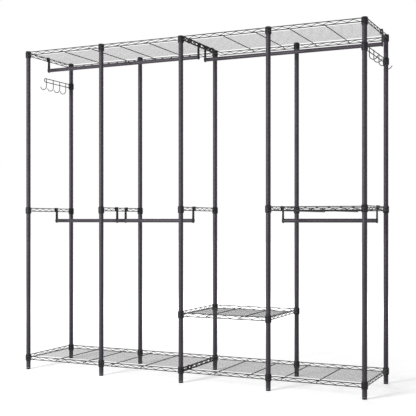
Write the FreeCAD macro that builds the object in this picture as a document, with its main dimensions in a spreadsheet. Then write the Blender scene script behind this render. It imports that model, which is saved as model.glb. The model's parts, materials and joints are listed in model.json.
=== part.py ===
import FreeCAD, Part
import math
import os
import re
import Sketcher

# An open frame wardrobe: ten posts in two rows, wire shelves on split sleeves, hanging rods on clips
# and two hook racks. X runs along the width, Y from the front row to the rear row and Z up. The origin
# is on the floor, under the middle of the frame.

# Lengths in millimetres. Names that end in angle are degrees, in steps or count are numbers of things,
# and in share are parts of a length.
SIZES = {
    # Frame
    "overall_height": 1950,
    "bay_width": 525,
    "frame_depth": 460,
    # Shelf levels, at the middle of the collars
    "bottom_level": 71,
    "middle_level": 973,
    "top_level_drop": 21,
    "low_shelf_steps": 12,
    "rack_drop_steps": 5,
    # Posts, each of three tubes with rings rolled into them
    "post_diameter": 26.4,
    "post_wall": 1.2,
    "groove_pitch": 26,
    "groove_width": 2,
    "groove_depth": 0.5,
    "groove_margin": 8,
    "stud_length": 60,
    "stud_bore": 14,
    "plug_chamfer": 2,
    "plug_fit": 0.05,
    # Caps on the posts
    "cap_crown": 5,
    "cap_edge": 2,
    "cap_plug_length": 14,
    # Levelling feet and the threaded inserts that hold them
    "foot_diameter": 26,
    "foot_height": 10,
    "foot_edge": 1.5,
    "stem_diameter": 8,
    "stem_length": 30,
    "insert_flange": 1.5,
    "insert_length": 36,
    "thread_fit": 0.06,
    # Split sleeves and the collars that wedge on them
    "sleeve_height": 32,
    "sleeve_top_wall": 0.55,
    "sleeve_bottom_wall": 1.15,
    "sleeve_fit": 0.05,
    "sleeve_slit_angle": 8,
    "sleeve_sector_count": 12,
    "collar_height": 40,
    "collar_wall": 2.7,
    "collar_chamfer": 6,
    "collar_lip": 0.9,
    "collar_fit": 0.3,
    # Trusses: two wires and a snaking wire welded between them
    "frame_wire": 5,
    "truss_spacing": 18,
    "truss_rise": 5,
    "truss_offset": 10,
    "long_truss_drop": 3,
    "snake_wire": 3,
    "snake_pitch": 64,
    "snake_bend": 6,
    "snake_margin": 4,
    "weld_sink": 0.5,
    "seam_gap": 0.05,
    # Decks: fine wires along the shelf on ribs across it
    "deck_wire": 2,
    "deck_pitch": 23,
    "deck_margin": 92,
    "rib_pitch": 195,
    "rib_shift": 18,
    "rib_end_flat": 8,
    "rib_end_run": 12,
    "rib_bend": 8,
    "ribs_per_bay_count": 2,
    # Right shelves, which hang on the end trusses of the left ones
    "joint_gap": 0.35,
    "joint_hook_width": 18,
    "joint_hook_plate": 2.5,
    "joint_hook_gap_count": 6.5,
    # Hanging rods, and how far back each one hangs
    "rod_diameter": 22,
    "rod_wall": 1.2,
    "rod_drop": 58,
    "bay_1_rod_share": 0.63,
    "bay_2_rod_share": 0.37,
    "top_left_rod_gap_count": -0.5,
    "top_right_rod_gap_count": 3.5,
    "bay_4_rod_gap_count": 0.5,
    # Rod clips, which sit over a truss
    "clip_side_gap": 1.5,
    "clip_bridge": 3,
    "clip_outer_leg": 3.5,
    "clip_fit": 0.3,
    "clip_plate": 6,
    "neck_top_width": 18,
    "neck_bottom_width": 20,
    "rod_seat_rim": 3,
    "rod_boss_length": 12,
    "rod_fit": 0.1,
    # Hook racks
    "rack_wire": 5,
    "rack_spacing": 22,
    "rack_length": 294,
    "rack_end_flat": 4,
    "hook_wire": 4.5,
    "hook_drop": 68,
    "hook_bend": 20,
    "hook_flat": 2,
    "hook_tip": 10,
    "hook_tip_angle": 55,
    # Spare length of a cutting solid past what it cuts
    "overrun": 1,
}

FIRST_ROW = 1
LAST_ROW = 5
MIDDLE_ROW = 3
ROWS = range(FIRST_ROW, LAST_ROW + 1)
SIDES = {"front": "-frame_depth / 2", "rear": "frame_depth / 2"}
# Which way a truss lies from its posts, and which way an end truss's posts lie from it along its own Y
OUTWARD = {"front": "-", "rear": "+", "left": "-", "right": "+"}
POSTS_ASIDE = {"left": -1, "right": 1}
LEVELS = {
    "bottom": "bottom_level",
    "low": "(bottom_level + low_shelf_steps * groove_pitch)",
    "middle": "middle_level",
    "rack": "(overall_height - top_level_drop - rack_drop_steps * groove_pitch)",
    "top": "(overall_height - top_level_drop)",
}
# Places of the hooks along the hairpin from its post, and from the front post to the rear one at the right
LEFT_HOOK_SHARES = (0.19, 0.42, 0.66, 0.91)
RIGHT_HOOK_SHARES = (0.17, 0.37, 0.61, 0.86)

ORIGIN = FreeCAD.Vector(0, 0, 0)
ALONG_Y = FreeCAD.Vector(0, 1, 0)
UP = FreeCAD.Vector(0, 0, 1)
QUARTER_TURN = 90
HALF_TURN = 180
FULL_TURN = 360
TUBES_PER_POST = 3

doc = FreeCAD.newDocument("open_frame_wardrobe")
sheet = doc.addObject("Spreadsheet::Sheet", "sizes")
for line, (alias, value) in enumerate(SIZES.items(), start=1):
    sheet.set("A%d" % line, alias.replace("_", " "))
    sheet.set("B%d" % line, str(value))
    sheet.setAlias("B%d" % line, alias)
doc.recompute()
size = {alias: float(sheet.get(alias)) for alias in SIZES}

nodes = []
sleeve_places = {}


# Binding pieces to the sheet

def bound(text):
    """The sum, with each size in it pointed at its cell."""
    return re.sub(r"[a-z_0-9]+", lambda word: ("sizes." if word[0] in SIZES else "") + word[0], text)


def bind(piece, **sums):
    """Ties each named property of a piece to a sum of sizes."""
    for name, text in sums.items():
        piece.setExpression(name, bound(text))


def set_at(piece, x="0", y="0", z="0", turn=0, axis=UP):
    """Turns a piece about an axis and ties its place to three sums."""
    piece.Placement = FreeCAD.Placement(ORIGIN, FreeCAD.Rotation(axis, turn))
    for name, text in zip("xyz", (x, y, z)):
        piece.setExpression("Placement.Base." + name, bound(text))
    return piece


def placed(piece, x="0", y="0", z="0", turn=0):
    """A copy of a piece, turned about Z and set at a place."""
    copy = doc.addObject("Part::Compound", piece.Name + "_copy")
    copy.Links = [piece]
    return set_at(copy, x, y, z, turn)


def node(label, pieces, x="0", y="0", z="0"):
    """One sub-part of the wardrobe, made of the solids of its pieces."""
    part = doc.addObject("Part::Compound", label)
    part.Label = label
    part.Links = pieces
    nodes.append(set_at(part, x, y, z))
    return part


def row_x(row):
    return "(%d * bay_width)" % (row - MIDDLE_ROW)


def end_x(row, side):
    """The place of a shelf's end truss, outside the posts of its row."""
    return "(%s %s truss_offset)" % (row_x(row), OUTWARD[side])


def gap_y(gap):
    """The place of a numbered gap between the deck wires, counted from the middle one."""
    return "(%s * deck_pitch)" % gap


# Bodies made from outlines

def origin_part(body, role):
    return next(feature for feature in body.Origin.OriginFeatures if feature.Role == role)


def outlined(name, plane, outline):
    """A body with a closed sketch through points, each given as two sums of sizes."""
    body = doc.addObject("PartDesign::Body", name)
    sketch = body.newObject("Sketcher::SketchObject", name + "_outline")
    sketch.AttachmentSupport = [(origin_part(body, plane), "")]
    sketch.MapMode = "FlatFace"
    count = len(outline)
    angles = [math.tau * k / count for k in range(count)]
    start = [FreeCAD.Vector(math.cos(angle), math.sin(angle)) for angle in angles]
    for k in range(count):
        sketch.addGeometry(Part.LineSegment(start[k], start[(k + 1) % count]))
    for k in range(count):
        sketch.addConstraint(Sketcher.Constraint("Coincident", k, 2, (k + 1) % count, 1))
    for k, texts in enumerate(outline):
        for kind, value, text, line in zip(("DistanceX", "DistanceY"), start[k], texts, (-2, -1)):
            if text == "0":
                sketch.addConstraint(Sketcher.Constraint("PointOnObject", k, 1, line))
            else:
                number = sketch.addConstraint(Sketcher.Constraint(kind, -1, 1, k, 1, value))
                sketch.setExpression("Constraints[%d]" % number, bound(text))
    return body, sketch


def turned(name, outline, angle=None):
    """A piece turned about Z from an outline of radii and heights."""
    body, sketch = outlined(name, "XZ_Plane", outline)
    turning = body.newObject("PartDesign::Revolution", name + "_turning")
    turning.Profile = sketch
    turning.ReferenceAxis = (sketch, ["V_Axis"])
    turning.Angle = FULL_TURN
    if angle:
        bind(turning, Angle=angle)
    return body


def plate(name, plane, outline, thickness, symmetric):
    """A piece of one thickness, cut to an outline."""
    body, sketch = outlined(name, plane, outline)
    pad = body.newObject("PartDesign::Pad", name + "_pad")
    pad.Profile = sketch
    pad.SideType = "Symmetric" if symmetric else "One side"
    bind(pad, Length=thickness)
    return body


def cylinder(name, radius, height):
    piece = doc.addObject("Part::Cylinder", name)
    bind(piece, Radius=radius, Height=height)
    return piece


def tube_along_x(name, radius, wall, length):
    """A plain tube that starts at the origin and runs along X."""
    tube = doc.addObject("Part::Cut", name)
    tube.Base = cylinder(name + "_outside", radius, length)
    tube.Tool = cylinder(name + "_bore", "%s - %s" % (radius, wall), "%s + 2 * overrun" % length)
    set_at(tube.Tool, z="-overrun")
    return set_at(tube, turn=QUARTER_TURN, axis=ALONG_Y)


# Bent and straight wires

def bent_path(points, bend):
    """Straight runs through points, joined by tangent arcs of one radius."""
    edges = []
    here = points[0]
    for before, corner, after in zip(points, points[1:], points[2:]):
        into = (corner - before).normalize()
        out = (after - corner).normalize()
        half_angle = into.getAngle(out) / 2
        reach = bend * math.tan(half_angle)
        begin = corner - into * reach
        end = corner + out * reach
        inward = (out - into).normalize()
        middle = corner + inward * (bend / math.cos(half_angle) - bend)
        edges.append(Part.LineSegment(here, begin).toShape())
        edges.append(Part.Arc(begin, middle, end).toShape())
        here = end
    edges.append(Part.LineSegment(here, points[-1]).toShape())
    return Part.Wire(edges)


def bent_wire(points, bend, diameter):
    """A round wire bent through points."""
    path = bent_path(points, bend)
    heading = (points[1] - points[0]).normalize()
    section = Part.Wire([Part.Circle(points[0], heading, diameter / 2).toShape()])
    return path.makePipeShell([section], True, False)


def straight_wire(start, end, diameter):
    run = end - start
    return Part.makeCylinder(diameter / 2, run.Length, start, run)


def shaped(name, shape):
    """A piece whose shape is worked out from the sheet's sizes."""
    piece = doc.addObject("Part::Feature", name)
    piece.Shape = shape
    return piece


def one_solid(shape):
    """The single solid that welded wires make together."""
    if len(shape.Solids) != 1:
        raise RuntimeError("%d solids where one was meant" % len(shape.Solids))
    return shape.Solids[0]


def collar_cutter(x, y=0):
    """What a collar on the post at a place takes out of a wire that is welded to it."""
    height = size["truss_spacing"] + size["rack_spacing"] + size["collar_height"]
    return Part.makeCylinder(collar_radius + size["seam_gap"], height, FreeCAD.Vector(x, y, -height / 2))


# Trusses, decks and shelves

def truss(name, start, end, collar_places, aside=None):
    """A truss along X from start to end, with its middle height at Z 0. Its wires pass by the collars, or are
    cut back at them where the posts lie aside by a distance."""
    half_height = size["truss_spacing"] / 2
    clear = collar_radius + size["snake_margin"]
    first = start + (clear if start in collar_places else size["snake_margin"])
    last = end - (clear if end in collar_places else size["snake_margin"])
    waves = max(1, round((last - first) / (size["snake_pitch"] / 2)))
    step = (last - first) / waves
    apex = half_height - size["frame_wire"] / 2 - size["snake_wire"] / 2 + size["weld_sink"]
    slope = math.atan2(2 * apex, step)
    corner = apex + size["snake_bend"] * (1 / math.cos(slope) - 1)
    peaks = [FreeCAD.Vector(first + k * step, 0, -corner if k % 2 else corner) for k in range(waves + 1)]
    snake = bent_wire(peaks, size["snake_bend"], size["snake_wire"])
    wires = [
        straight_wire(FreeCAD.Vector(start, 0, z), FreeCAD.Vector(end - seam, 0, z), size["frame_wire"])
        for z in (half_height, -half_height)
    ]
    shape = snake.fuse(wires)
    if aside is not None:
        shape = shape.cut([collar_cutter(x, aside) for x in collar_places])
    return shaped(name, one_solid(shape))


def rib(x, reach, height, end_drop):
    """A wire across the shelf, joggled down at both ends to the wires that it is welded to."""
    if not end_drop:
        front = FreeCAD.Vector(x, -reach, height)
        return straight_wire(front, FreeCAD.Vector(x, reach, height), size["frame_wire"])
    flat = reach - size["rib_end_flat"]
    run = flat - size["rib_end_run"]
    places = ((-reach, end_drop), (-flat, end_drop), (-run, 0), (run, 0), (flat, end_drop), (reach, end_drop))
    points = [FreeCAD.Vector(x, y, height - drop) for y, drop in places]
    return bent_wire(points, size["rib_bend"], size["frame_wire"])


def deck(name, start, end, rib_count, rib_shift=0, below=False):
    """Fine wires from one end truss to the other, on ribs that are welded to the lower wires of the long
    trusses, from above or from below. Hangers come close below a deck that hangs below, so each of its wires
    and ribs is a solid of its own."""
    rib_rise = size["frame_wire"] + seam
    rib_drop = rib_rise + size["long_truss_drop"]
    rib_z = (-rib_drop if below else rib_rise) - size["truss_spacing"] / 2
    wire_z = rib_z + (size["frame_wire"] + size["deck_wire"]) / 2 + (seam if below else -size["weld_sink"])
    truss_y = size["frame_depth"] / 2 + long_offset
    end_gap = seam + (size["frame_wire"] if below else size["snake_wire"]) / 2
    rib_reach = truss_y if below else truss_y - end_gap
    wires_each_side = math.ceil((truss_y - size["deck_margin"]) / size["deck_pitch"])
    wires = []
    for k in range(-wires_each_side, wires_each_side + 1):
        left = FreeCAD.Vector(start + end_gap, k * size["deck_pitch"], wire_z)
        right = FreeCAD.Vector(end - end_gap, k * size["deck_pitch"], wire_z)
        wires.append(straight_wire(left, right, size["deck_wire"]))
    last_row = end - size["truss_offset"]
    first_rib = last_row / 2 + rib_shift - (rib_count - 1) * size["rib_pitch"] / 2
    end_drop = 0 if below else size["long_truss_drop"]
    ribs = [rib(first_rib + k * size["rib_pitch"], rib_reach, rib_z, end_drop) for k in range(rib_count)]
    if below:
        return shaped(name, Part.makeCompound(wires + ribs))
    return shaped(name, one_solid(wires[0].fuse(wires[1:] + ribs)))


def collar_at(label, row, side, level):
    """A collar of a sub-part on a post, with the place of its split sleeve noted."""
    place = (row_x(row), SIDES[side], LEVELS[level])
    sleeve_places.setdefault(label, []).append(place)
    return placed(collar, *place)


def shelf(label, level, first_row, last_row, long_trusses, left_end, deck_piece, joined):
    """A welded shelf. A joined one has no collars at its first row and hooks over its neighbour's end."""
    truss_z = LEVELS[level] + " + truss_rise"
    pieces = []
    for side, side_y in SIDES.items():
        truss_y = "%s %s (%s + frame_wire / 2 + seam_gap)" % (side_y, OUTWARD[side], collar_outside)
        for row, long_truss in zip(range(first_row, last_row), long_trusses):
            pieces.append(placed(long_truss, row_x(row), truss_y, truss_z + " - long_truss_drop"))
        for row in range(first_row + joined, last_row + 1):
            pieces.append(collar_at(label, row, side, level))
    left_x = joined_x if joined else end_x(first_row, "left")
    right_x = end_x(last_row, "right")
    pieces.append(placed(left_end, left_x, SIDES["front"], truss_z, QUARTER_TURN))
    pieces.append(placed(end_trusses["right"], right_x, SIDES["front"], truss_z, QUARTER_TURN))
    pieces.append(placed(deck_piece, row_x(first_row), "0", truss_z))
    if joined:
        for sign in ("-", ""):
            hook_y = gap_y(sign + "joint_hook_gap_count")
            hook_x = end_x(first_row, "right")
            pieces.append(placed(joint_hook, hook_x, hook_y, truss_z + " + truss_spacing / 2"))
    return node(label, pieces)


# Hook racks

def hook_shape(outward):
    """A hook in the XZ plane that hangs from the upper rack wire and curls outward."""
    x = outward * (size["rack_wire"] + size["hook_wire"]) / 2 + outward * size["seam_gap"]
    top = size["rack_spacing"] / 2 + size["rack_wire"] / 2
    bottom = top - size["hook_drop"]
    tip_angle = math.radians(size["hook_tip_angle"])
    tip_reach = size["hook_bend"] * math.tan(tip_angle / 2)
    tip_run = tip_reach + size["hook_tip"]
    corner_x = x + outward * (size["hook_bend"] + size["hook_flat"] + tip_reach)
    tip_x = corner_x + outward * tip_run * math.cos(tip_angle)
    points = [
        FreeCAD.Vector(x, 0, top),
        FreeCAD.Vector(x, 0, bottom),
        FreeCAD.Vector(corner_x, 0, bottom),
        FreeCAD.Vector(tip_x, 0, bottom + tip_run * math.sin(tip_angle)),
    ]
    wire = bent_wire(points, size["hook_bend"], size["hook_wire"])
    tip = Part.makeSphere(size["hook_wire"] / 2, points[-1])
    return one_solid(wire.fuse(tip))


def hairpin_shape():
    """One wire out along X from a collar, round its free end and back, below."""
    half = size["rack_spacing"] / 2
    points = [FreeCAD.Vector(x, 0, z) for x, z in (
        (0, half), (size["rack_length"], half), (size["rack_length"], -half), (0, -half))]
    wire = bent_wire(points, (size["rack_spacing"] - size["rack_end_flat"]) / 2, size["rack_wire"])
    return one_solid(wire.cut(collar_cutter(0)))


def rack_bar_shape():
    """A straight rack wire along X between the collars of two posts."""
    wire = straight_wire(ORIGIN, FreeCAD.Vector(size["frame_depth"], 0, 0), size["rack_wire"])
    return one_solid(wire.cut([collar_cutter(0), collar_cutter(size["frame_depth"])]))


# Turned pieces

tube_bore = "post_diameter / 2 - post_wall"
plug = tube_bore + " - plug_fit"
tube_bottom = "foot_height + insert_flange"
tube_top = "overall_height - cap_crown"
tube_length = "(%s - (%s)) / %d" % (tube_top, tube_bottom, TUBES_PER_POST)

foot = turned("foot", [
    ("0", "0"),
    ("foot_diameter / 2 - foot_edge", "0"),
    ("foot_diameter / 2", "foot_edge"),
    ("foot_diameter / 2", "foot_height"),
    ("stem_diameter / 2", "foot_height"),
    ("stem_diameter / 2", "foot_height + stem_length"),
    ("0", "foot_height + stem_length"),
])
insert = turned("insert", [
    ("stem_diameter / 2 + thread_fit", "0"),
    ("post_diameter / 2", "0"),
    ("post_diameter / 2", "insert_flange"),
    (plug, "insert_flange"),
    (plug, "insert_length - plug_chamfer"),
    (plug + " - plug_chamfer", "insert_length"),
    ("stem_diameter / 2 + thread_fit", "insert_length"),
])
stud = turned("stud", [
    ("stud_bore / 2", "-stud_length / 2"),
    (plug + " - plug_chamfer", "-stud_length / 2"),
    (plug, "plug_chamfer - stud_length / 2"),
    (plug, "stud_length / 2 - plug_chamfer"),
    (plug + " - plug_chamfer", "stud_length / 2"),
    ("stud_bore / 2", "stud_length / 2"),
])
cap = turned("cap", [
    ("0", "-cap_plug_length"),
    (plug + " - plug_chamfer", "-cap_plug_length"),
    (plug, "plug_chamfer - cap_plug_length"),
    (plug, "0"),
    ("post_diameter / 2", "0"),
    ("post_diameter / 2", "cap_crown - cap_edge"),
    ("post_diameter / 2 - cap_edge", "cap_crown"),
    ("0", "cap_crown"),
])

sleeve_inside = "post_diameter / 2 + sleeve_fit"
sleeve_rib = "post_diameter / 2 - groove_depth + sleeve_fit"
sleeve_rib_half = "groove_width / 2 - sleeve_fit"
sleeve_sector = turned("sleeve_sector", [
    (sleeve_inside, "-sleeve_height / 2"),
    (sleeve_inside + " + sleeve_bottom_wall", "-sleeve_height / 2"),
    (sleeve_inside + " + sleeve_top_wall", "sleeve_height / 2"),
    (sleeve_inside, "sleeve_height / 2"),
    (sleeve_inside, sleeve_rib_half),
    (sleeve_rib, sleeve_rib_half),
    (sleeve_rib, "-(%s)" % sleeve_rib_half),
    (sleeve_inside, "-(%s)" % sleeve_rib_half),
], "(%d - sleeve_slit_angle) / sleeve_sector_count" % HALF_TURN)
# A half keeps the seams of its sectors, so that a coarse mesh of it stays round
sectors = round(size["sleeve_sector_count"])
sector_turn = (HALF_TURN - size["sleeve_slit_angle"]) / sectors
sleeve_half = doc.addObject("Part::MultiFuse", "sleeve_half")
sleeve_half.Shapes = [placed(sleeve_sector, turn=k * sector_turn) for k in range(sectors)]
sleeve_half.Refine = False

# The collar's bore carries on the sleeve's taper over the collar's whole height
middle_bore = sleeve_inside + " + (sleeve_top_wall + sleeve_bottom_wall) / 2 + collar_fit"
bore_spread = "(sleeve_bottom_wall - sleeve_top_wall) / sleeve_height * collar_height / 2"
top_bore = "%s - %s" % (middle_bore, bore_spread)
bottom_bore = "%s + %s" % (middle_bore, bore_spread)
collar_outside = bottom_bore + " + collar_wall"
collar = turned("collar", [
    (bottom_bore, "-collar_height / 2"),
    (bottom_bore + " + collar_lip", "-collar_height / 2"),
    (collar_outside, "collar_chamfer - collar_height / 2"),
    (collar_outside, "collar_height / 2 - collar_chamfer"),
    (bottom_bore + " + collar_lip", "collar_height / 2"),
    (top_bore, "collar_height / 2"),
])
doc.recompute()
collar_radius = collar.Shape.BoundBox.XMax


# Post tubes, with rings counted from the level that their own sleeves sit at

def post_tube(name, number, level):
    start = "(%s + %d * %s)" % (tube_bottom, number, tube_length)
    rings_below = "floor((%s - %s - groove_margin) / groove_pitch)" % (level, start)
    first = "(%s - %s - %s * groove_pitch)" % (level, start, rings_below)
    rings = "floor((%s - groove_margin - %s) / groove_pitch)" % (tube_length, first)
    body = doc.addObject("PartDesign::Body", name)
    section = body.newObject("Sketcher::SketchObject", name + "_section")
    section.AttachmentSupport = [(origin_part(body, "XY_Plane"), "")]
    section.MapMode = "FlatFace"
    for text in ("post_diameter / 2", tube_bore):
        ring = section.addGeometry(Part.Circle(ORIGIN, UP, size["post_diameter"] / 2))
        section.addConstraint(Sketcher.Constraint("Coincident", ring, 3, -1, 1))
        number = section.addConstraint(Sketcher.Constraint("Radius", ring, size["post_diameter"] / 2))
        section.setExpression("Constraints[%d]" % number, bound(text))
    pad = body.newObject("PartDesign::Pad", name + "_pad")
    pad.Profile = section
    bind(pad, Length=tube_length)
    doc.recompute()
    cut = body.newObject("Sketcher::SketchObject", name + "_ring")
    cut.AttachmentSupport = [(origin_part(body, "XZ_Plane"), "")]
    cut.MapMode = "FlatFace"
    inner = size["post_diameter"] / 2 - size["groove_depth"]
    outer = size["post_diameter"] / 2 + size["overrun"]
    corners = [FreeCAD.Vector(x, y) for x, y in (
        (inner, 0), (outer, 0), (outer, size["groove_width"]), (inner, size["groove_width"]))]
    for k in range(4):
        cut.addGeometry(Part.LineSegment(corners[k], corners[(k + 1) % 4]))
    for k, kind in enumerate(("Horizontal", "Vertical", "Horizontal", "Vertical")):
        cut.addConstraint(Sketcher.Constraint("Coincident", k, 2, (k + 1) % 4, 1))
        cut.addConstraint(Sketcher.Constraint(kind, k))
    for kind, ends, text in (
        ("DistanceX", (-1, 1, 0, 1), "post_diameter / 2 - groove_depth"),
        ("DistanceX", (0, 1, 0, 2), "groove_depth + overrun"),
        ("DistanceY", (-1, 1, 0, 1), first + " - groove_width / 2"),
        ("DistanceY", (1, 1, 1, 2), "groove_width"),
    ):
        number = cut.addConstraint(Sketcher.Constraint(kind, *ends, size["groove_width"]))
        cut.setExpression("Constraints[%d]" % number, bound(text))
    groove = body.newObject("PartDesign::Groove", name + "_groove")
    groove.Profile = cut
    groove.ReferenceAxis = (cut, ["V_Axis"])
    groove.Angle = FULL_TURN
    doc.recompute()
    pattern = body.newObject("PartDesign::LinearPattern", name + "_rings")
    pattern.Originals = [groove]
    pattern.Direction = (origin_part(body, "Z_Axis"), [""])
    bind(pattern, Length=rings + " * groove_pitch", Occurrences=rings + " + 1")
    body.Tip = pattern
    doc.recompute()
    if body.Shape.Volume >= pad.Shape.Volume:
        raise RuntimeError(name + " has no rings")
    return set_at(body, z=start)


tubes = [
    post_tube("lower_tube", 0, LEVELS["bottom"]),
    post_tube("middle_tube", 1, LEVELS["middle"]),
    post_tube("upper_tube", 2, LEVELS["top"]),
]

# Posts, feet and what is inside the posts
caps = []
studs = []
inserts = []
for side, side_y in SIDES.items():
    for row in ROWS:
        node("post_%s_%d" % (side, row), tubes, row_x(row), side_y)
        node("foot_%s_%d" % (side, row), [foot], row_x(row), side_y)
        caps.append(placed(cap, row_x(row), side_y, tube_top))
        inserts.append(placed(insert, row_x(row), side_y, "foot_height"))
        for seam in range(1, TUBES_PER_POST):
            studs.append(placed(stud, row_x(row), side_y, "%s + %d * %s" % (tube_bottom, seam, tube_length)))
node("post_caps", caps)
node("foot_inserts", inserts)
node("joining_studs", studs)

# Trusses and decks that the shelves and side frames are welded from
bay = size["bay_width"]
depth = size["frame_depth"]
offset = size["truss_offset"]
half_wire = size["frame_wire"] / 2
seam = size["seam_gap"]
long_offset = collar_radius + half_wire + seam
joint = collar_radius + size["joint_gap"] + half_wire
joint_start = joint + half_wire + seam
joint_offset = "(%s + joint_gap + frame_wire / 2)" % collar_outside
joined_x = "(%s + %s)" % (row_x(MIDDLE_ROW), joint_offset)
bay_truss = truss("bay_truss", 0, bay, (0, bay))
joined_truss = truss("joined_truss", joint_start, bay, (bay,))
end_trusses = {
    side: truss("end_truss_" + side, 0, depth, (0, depth), aside * offset)
    for side, aside in POSTS_ASIDE.items()
}
side_truss = truss("side_truss", 0, depth, (0, depth), 0)
hanging_truss = truss("hanging_truss", -long_offset - half_wire, depth + long_offset + half_wire, ())
ribs = round(size["ribs_per_bay_count"])
low_deck = deck("low_deck", -offset, bay + offset, ribs)
middle_deck = deck("middle_deck", -offset, bay + offset, ribs, below=True)

# A staple over the left shelf's end truss and the right shelf's first one
hook_seat = "frame_wire / 2 + seam_gap"
hook_side = "(frame_wire / 2 + clip_fit)"
hook_reach = "(%s - truss_offset + %s)" % (joint_offset, hook_side)
hook_bottom = "-truss_spacing - frame_wire / 2"
joint_hook = plate("joint_hook", "XZ_Plane", [
    ("-%s - joint_hook_plate" % hook_side, hook_bottom),
    ("-%s" % hook_side, hook_bottom),
    ("-%s" % hook_side, hook_seat),
    (hook_reach, hook_seat),
    (hook_reach, hook_bottom),
    (hook_reach + " + joint_hook_plate", hook_bottom),
    (hook_reach + " + joint_hook_plate", hook_seat + " + joint_hook_plate"),
    ("-%s - joint_hook_plate" % hook_side, hook_seat + " + joint_hook_plate"),
], "joint_hook_width", True)

for level, shift in (("top", size["rib_shift"]), ("bottom", -size["rib_shift"])):
    left_deck = deck("left_deck_" + level, -offset, 2 * bay + offset, 2 * ribs, shift)
    right_deck = deck("right_deck_" + level, joint, 2 * bay + offset, 2 * ribs, shift)
    shelf("shelf_%s_left" % level, level, FIRST_ROW, MIDDLE_ROW,
          (bay_truss, bay_truss), end_trusses["left"], left_deck, False)
    shelf("shelf_%s_right" % level, level, MIDDLE_ROW, LAST_ROW,
          (joined_truss, bay_truss), hanging_truss, right_deck, True)
shelf("shelf_low_bay_3", "low", MIDDLE_ROW, MIDDLE_ROW + 1,
      (bay_truss,), end_trusses["left"], low_deck, False)
shelf("shelf_middle_bay_4", "middle", LAST_ROW - 1, LAST_ROW,
      (bay_truss,), end_trusses["left"], middle_deck, False)
for row in range(FIRST_ROW, MIDDLE_ROW + 1):
    label = "side_frame_%d" % row
    frame_pieces = [placed(side_truss, row_x(row), SIDES["front"], "middle_level + truss_rise", QUARTER_TURN)]
    frame_pieces += [collar_at(label, row, side, "middle") for side in SIDES]
    node(label, frame_pieces)

# Rod clips: an upside-down U over a truss, with a long leg that ends in a seat for the rod
slot = "(frame_wire / 2 + clip_fit)"
leg_outside = "(%s + clip_plate)" % slot
clip_bottom = "-truss_spacing - frame_wire / 2"
clip_top = slot + " + clip_bridge"
rod_z = "-truss_spacing - rod_drop"


def rod_clip(name, leg_start, clip_turn):
    """A clip whose long leg starts at a place along X and whose boss points along X."""
    clip = plate(name + "_clip", "XZ_Plane", [
        ("-%s - clip_outer_leg" % slot, clip_bottom),
        ("-%s" % slot, clip_bottom),
        ("-%s" % slot, slot),
        (slot, slot),
        (slot, clip_bottom),
        (leg_outside, clip_bottom),
        (leg_outside, clip_top),
        ("-%s - clip_outer_leg" % slot, clip_top),
    ], "deck_pitch - deck_wire - 2 * clip_side_gap", True)
    set_at(clip, turn=clip_turn)
    neck = plate(name + "_neck", "YZ_Plane", [
        ("-neck_top_width / 2", clip_bottom),
        ("-neck_bottom_width / 2", rod_z),
        ("neck_bottom_width / 2", rod_z),
        ("neck_top_width / 2", clip_bottom),
    ], "clip_plate", False)
    set_at(neck, leg_start)
    rod_seat = cylinder(name + "_seat", "rod_diameter / 2 + rod_seat_rim", "clip_plate")
    set_at(rod_seat, leg_start, "0", rod_z, QUARTER_TURN, ALONG_Y)
    boss_radius = "rod_diameter / 2 - rod_wall - rod_fit"
    rod_boss = cylinder(name + "_boss", boss_radius, "clip_plate + rod_boss_length")
    set_at(rod_boss, leg_start, "0", rod_z, QUARTER_TURN, ALONG_Y)
    bracket = doc.addObject("Part::MultiFuse", name)
    bracket.Shapes = [clip, neck, rod_seat, rod_boss]
    return bracket


# The crossed clip has its long leg on the far side of the truss, so that its rod passes below the truss. A
# rod has the same clip at both ends.
inside_bracket = rod_clip("inside_bracket", slot, 0)
crossed_bracket = rod_clip("crossed_bracket", "-%s" % leg_outside, HALF_TURN)
ROD_STARTS = {inside_bracket: leg_outside, crossed_bracket: "-%s" % slot}

# Hanging rods: clip, level, left truss, right truss and place from front to rear
RODS = {
    "top_left": (inside_bracket, "top", end_x(FIRST_ROW, "left"), end_x(MIDDLE_ROW, "right"),
                 gap_y("top_left_rod_gap_count")),
    "top_right": (crossed_bracket, "top", end_x(MIDDLE_ROW, "right"), end_x(LAST_ROW, "right"),
                  gap_y("top_right_rod_gap_count")),
    "bay_1": (inside_bracket, "middle", row_x(1), row_x(2), "(bay_1_rod_share - 1 / 2) * frame_depth"),
    "bay_2": (inside_bracket, "middle", row_x(2), row_x(3), "(bay_2_rod_share - 1 / 2) * frame_depth"),
    "bay_4": (inside_bracket, "middle", end_x(4, "left"), end_x(5, "right"), gap_y("bay_4_rod_gap_count")),
}
for label, (bracket, level, left, right, y) in RODS.items():
    wire_z = LEVELS[level] + " + truss_rise + truss_spacing / 2"
    rod_start = "(%s + %s)" % (left, ROD_STARTS[bracket])
    rod_length = "(%s - (%s) - %s)" % (right, ROD_STARTS[bracket], rod_start)
    rod = tube_along_x("rod_tube_" + label, "rod_diameter / 2", "rod_wall", rod_length)
    node("rod_" + label, [placed(rod, rod_start, y, "%s + %s" % (wire_z, rod_z))])
    node("brackets_" + label, [
        placed(bracket, left, y, wire_z),
        placed(bracket, right, y, wire_z, HALF_TURN),
    ])

# Hook racks: a hairpin on one rear post at the left, two bars between the posts at the right
left_hook = shaped("left_hook", hook_shape(-1))
right_hook = shaped("right_hook", hook_shape(1))
hairpin = shaped("hairpin", hairpin_shape())
rack_bar = shaped("rack_bar", rack_bar_shape())

left_rack = [
    collar_at("hook_rack_left", FIRST_ROW, "rear", "rack"),
    placed(hairpin, row_x(FIRST_ROW), SIDES["rear"], LEVELS["rack"], -QUARTER_TURN),
]
for share in LEFT_HOOK_SHARES:
    hook_y = "%s - %s * rack_length" % (SIDES["rear"], share)
    left_rack.append(placed(left_hook, row_x(FIRST_ROW), hook_y, LEVELS["rack"]))
node("hook_rack_left", left_rack)

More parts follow.
